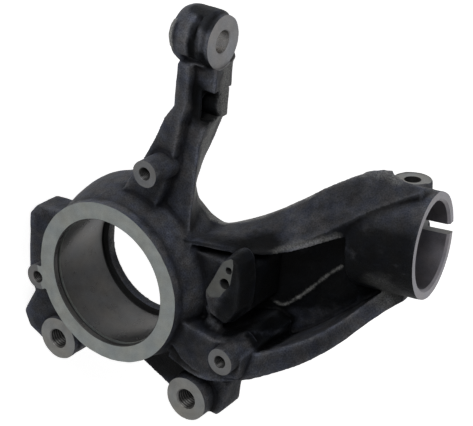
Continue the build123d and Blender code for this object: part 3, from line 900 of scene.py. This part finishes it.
def castMaterial():
    # colour = patches * tint * grain * hollows, then painted shade, then bare metal where it was ground
    look = skinLook
    material, nodes, links, shader = newMaterial("castSkin")
    where = nodes.new("ShaderNodeTexCoord").outputs["Object"]
    patch = noise(nodes, links, where, *look["patch"])
    grain = noise(nodes, links, where, *look["grain"])
    tintPatch = noise(nodes, links, where, *look["tintPatch"])
    color = ramp(nodes, links, patch, look["patchStops"])
    tint = ramp(nodes, links, tintPatch, look["tintStops"])
    color = mixed(nodes, links, 1.0, color, tint, "MULTIPLY")
    shade = ranged(nodes, links, grain, *look["grainShade"])
    color = vectorScaled(nodes, links, color, shade)
    # painted shade in hollows; edges lighter, partly as wear and partly as painted highlight
    hollow = attribute(nodes, "hollow")
    relief = ramp(nodes, links, ranged(nodes, links, hollow, 0, 1, -1, 1), look["hollowStops"])
    color = mixed(nodes, links, 1.0, color, relief, "MULTIPLY")
    # painted shade, darkening the skin where the part lies in shade
    paintedShade = attribute(nodes, "paintedShade")
    color = mixed(nodes, links, paintedShade, color, mixed(nodes, links, 1.0, color, look["paintedShadeTint"], "MULTIPLY"))
    bare = ramp(nodes, links, grain, look["groundStops"])
    ground = attribute(nodes, "ground")
    color = mixed(nodes, links, ground, color, bare)
    links.new(color, shader.inputs["Base Color"])
    links.new(ranged(nodes, links, grain, *look["roughness"]), shader.inputs["Roughness"])
    pits = noise(nodes, links, where, *look["pits"])
    first = bump(nodes, links, pits, *look["pitBump"])
    links.new(bump(nodes, links, grain, *look["grainBump"], first), shader.inputs["Normal"])
    shader.inputs["Specular IOR Level"].default_value = look["specular"]
    return material


# the machined surfaces: spacing of the tool rings in millimetres, "along" for rings along the axis
turnedLooks = {
    "ringFace": {"color": (0.180, 0.192, 0.184), "roughness": 0.45, "metallic": 0.6, "spacing": 0.4,
                 "outer": (55.5, (0.10, 0.10, 0.10))},
    "boreWall": {"color": (0.062, 0.061, 0.060), "roughness": 0.28, "metallic": 0.85, "spacing": 0.5,
                 "along": True},
    "lugFace": {"color": (0.158, 0.158, 0.150), "roughness": 0.48, "metallic": 0.6, "spacing": 0.4},
    # the relief colours paint highlight on the thread crests and shade in the roots
    "threadWall": {"color": (0.040, 0.039, 0.038), "roughness": 0.45, "metallic": 0.5, "spacing": 0.4,
                   "along": True, "relief": ((3.2, 3.2, 3.2), (0.12, 0.12, 0.12))},
    "clampFace": {"color": (0.175, 0.168, 0.185), "roughness": 0.45, "metallic": 0.6, "spacing": 0.4},
    "eyeFace": {"color": (0.200, 0.200, 0.206), "roughness": 0.48, "metallic": 0.6, "spacing": 0.4},
    "slitWall": {"color": (0.12, 0.12, 0.12), "roughness": 0.5, "metallic": 0.5, "spacing": 0.6,
                 "along": True},
    # near black: painted shade on the walls of grooves, leads and small bores
    "hollowShadeWall": {"color": (0.010, 0.010, 0.010), "roughness": 0.5, "metallic": 0.0, "spacing": 0.5},
    # lighter than the other bores so that the eye's taper shows a glint: painted highlight
    "taperWall": {"color": (0.42, 0.41, 0.40), "roughness": 0.25, "metallic": 0.9, "spacing": 0.3},
    "facetFace": {"color": (0.070, 0.072, 0.068), "roughness": 0.5, "metallic": 0.5, "spacing": 0.4},
    "sleeveWall": {"color": (0.105, 0.10, 0.112), "roughness": 0.4, "metallic": 0.6, "spacing": 0.5,
                   "along": True},
}


# what the machined surfaces share, as in skinLook
toolMarks = {
    "patch": (8, 5, 0.6), "fine": (0.6, 3), "tint": (14, 4), "patchShade": (0.82, 1.16, 0.3, 0.7),
    "fineShade": (0.86, 1.14, 0.3, 0.7), "tintStops": ((0.35, (1.03, 1.0, 0.96)), (0.65, (0.97, 1.0, 1.05))),
    "hollowSpan": (-0.6, 0.6), "reliefStops": (0.1, 0.5, 0.9), "smoother": 0.06, "rougher": 0.08,
    "waveBump": (0.02, 0.5), "fineBump": (0.04, 0.5), "specular": 0.3,
}


def turnedMaterial(name, centre, axis):
    # tool rings: sine of the distance from the axis, or along it of the height
    look, common = turnedLooks[name], toolMarks
    material, nodes, links, shader = newMaterial(name)
    where = nodes.new("ShaderNodeTexCoord").outputs["Object"]
    offset = vectorNode(nodes, links, "SUBTRACT", where, tuple(centre))
    if look.get("along"):
        distance = vectorNode(nodes, links, "DOT_PRODUCT", offset, tuple(axis))
    else:
        across = vectorNode(nodes, links, "CROSS_PRODUCT", offset, tuple(axis))
        distance = vectorNode(nodes, links, "LENGTH", across)
    turn = mathNode(nodes, links, "MULTIPLY", distance, 2 * np.pi / (look["spacing"] * mm))
    wave = mathNode(nodes, links, "SINE", turn)
    patch = noise(nodes, links, where, *common["patch"])
    fine = noise(nodes, links, where, *common["fine"])
    color = look["color"]
    if "outer" in look:
        radius, outerColor = look["outer"]
        beyond = mathNode(nodes, links, "GREATER_THAN", distance, radius * mm)
        color = mixed(nodes, links, beyond, color, outerColor)
    # painted highlight on the thread crests and painted shade in the roots, by the hollow value
    if "relief" in look:
        edge, crevice = look["relief"]
        hollow = ranged(nodes, links, attribute(nodes, "hollow"), 0, 1, *common["hollowSpan"])
        relief = ramp(nodes, links, hollow, list(zip(common["reliefStops"], (edge, white, crevice))))
        color = mixed(nodes, links, 1.0, color, relief, "MULTIPLY")
    shade = ranged(nodes, links, patch, *common["patchShade"])
    tint = ramp(nodes, links, noise(nodes, links, where, *common["tint"]), common["tintStops"])
    color = mixed(nodes, links, 1.0, color, tint, "MULTIPLY")
    color = vectorScaled(nodes, links, color, shade)
    color = vectorScaled(nodes, links, color, ranged(nodes, links, fine, *common["fineShade"]))
    links.new(color, shader.inputs["Base Color"])
    low, high = look["roughness"] - common["smoother"], look["roughness"] + common["rougher"]
    links.new(ranged(nodes, links, patch, low, high), shader.inputs["Roughness"])
    first = bump(nodes, links, wave, *common["waveBump"])
    links.new(bump(nodes, links, fine, *common["fineBump"], first), shader.inputs["Normal"])
    shader.inputs["Metallic"].default_value = look["metallic"]
    shader.inputs["Specular IOR Level"].default_value = common["specular"]
    return material


def dressCasting(piece):
    # one material for each finish, in the order of the slots
    clampAt, clampAxis = place("strut_clamp")
    eyeAt, eyeAxis = place("tie_rod_taper")
    lugAt = caliperCentres()[0][0]
    bore = ((0, 0, 0), (0, 1, 0))
    looks = [castMaterial(), turnedMaterial("ringFace", *bore), turnedMaterial("boreWall", *bore),
             turnedMaterial("lugFace", lugAt, (0, 1, 0)), turnedMaterial("threadWall", *bore),
             turnedMaterial("clampFace", clampAt, clampAxis), turnedMaterial("eyeFace", eyeAt, eyeAxis),
             turnedMaterial("slitWall", (0, 0, 0), (0, 0, 1)), turnedMaterial("hollowShadeWall", *bore),
             turnedMaterial("taperWall", eyeAt, eyeAxis), turnedMaterial("sleeveWall", clampAt, clampAxis),
             turnedMaterial("facetFace", *bore)]
    for index, material in enumerate(looks):
        piece.data.materials[index] = material


dressCasting(casting)
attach(casting, "root")
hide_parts("steering_knuckle")
print("casting dressed")


# floor, backdrop and lights
stage = {"gap": 2, "half": 4.0, "color": 0.8, "roughness": 0.9, "glow": 0.74, "sky": 0.28}


def seenDirectly(nodes, links):
    # 1 for camera, glossy and transmission rays, 0 for the rest
    path = nodes.new("ShaderNodeLightPath")
    plain = mathNode(nodes, links, "MAXIMUM", path.outputs["Is Camera Ray"], path.outputs["Is Glossy Ray"])
    return mathNode(nodes, links, "MAXIMUM", plain, path.outputs["Is Transmission Ray"])


def addFloor():
    # a pale sheet a gap below the casting; it glows where it is seen directly
    low = cadBox[0].z - stage["gap"] * mm
    half = stage["half"]
    mesh = bpy.data.meshes.new("floor")
    mesh.from_pydata([(-half, -half, low), (half, -half, low), (half, half, low), (-half, half, low)], [],
                     [(0, 1, 2, 3)])
    floor = linked("floor", mesh)
    material, nodes, links, shader = newMaterial("paleFloor")
    shader.inputs["Base Color"].default_value = (stage["color"],) * 3 + (1,)
    shader.inputs["Roughness"].default_value = stage["roughness"]
    shader.inputs["Emission Color"].default_value = (1, 1, 1, 1)
    glow = mathNode(nodes, links, "MULTIPLY", seenDirectly(nodes, links), stage["glow"])
    links.new(glow, shader.inputs["Emission Strength"])
    mesh.materials.append(material)


def addWorld():
    # light from all round: 1 where it is seen directly, and the sky value elsewhere
    world = bpy.data.worlds.new("studio")
    bpy.context.scene.world = world
    world.use_nodes = True
    nodes, links = world.node_tree.nodes, world.node_tree.links
    nodes.clear()
    out = nodes.new("ShaderNodeOutputWorld")
    back = nodes.new("ShaderNodeBackground")
    links.new(back.outputs[0], out.inputs[0])
    links.new(ranged(nodes, links, seenDirectly(nodes, links), stage["sky"], 1.0), back.inputs["Strength"])


lampTarget = (-0.04, 0.05, 0.03)
lamps = {
    "key": {"place": (-1.0, -0.74, 0.26), "size": 0.5, "power": 12},
    "fill": {"place": (0.35, -1.1, 0.6), "size": 0.9, "power": 2},
    "back": {"place": (0.5, 1.0, 0.25), "size": 0.9, "power": 2},
}


def addLamps():
    # square lamps that face the target, so that each one's back is unit(place - target)
    for name, lamp in lamps.items():
        light = bpy.data.lights.new(name, "AREA")
        light.energy = lamp["power"]
        light.size = lamp["size"]
        lampObject = bpy.data.objects.new(name, light)
        bpy.context.scene.collection.objects.link(lampObject)
        back = unit(np.array(lamp["place"]) - np.array(lampTarget))
        turn = Matrix(np.array([*squareTo(back), back]).tolist()).transposed()
        lampObject.matrix_world = Matrix.Translation(lamp["place"]) @ turn.to_4x4()


addFloor()
addWorld()
addLamps()
bpy.context.scene.view_settings.view_transform = "Standard"
print("stage set")
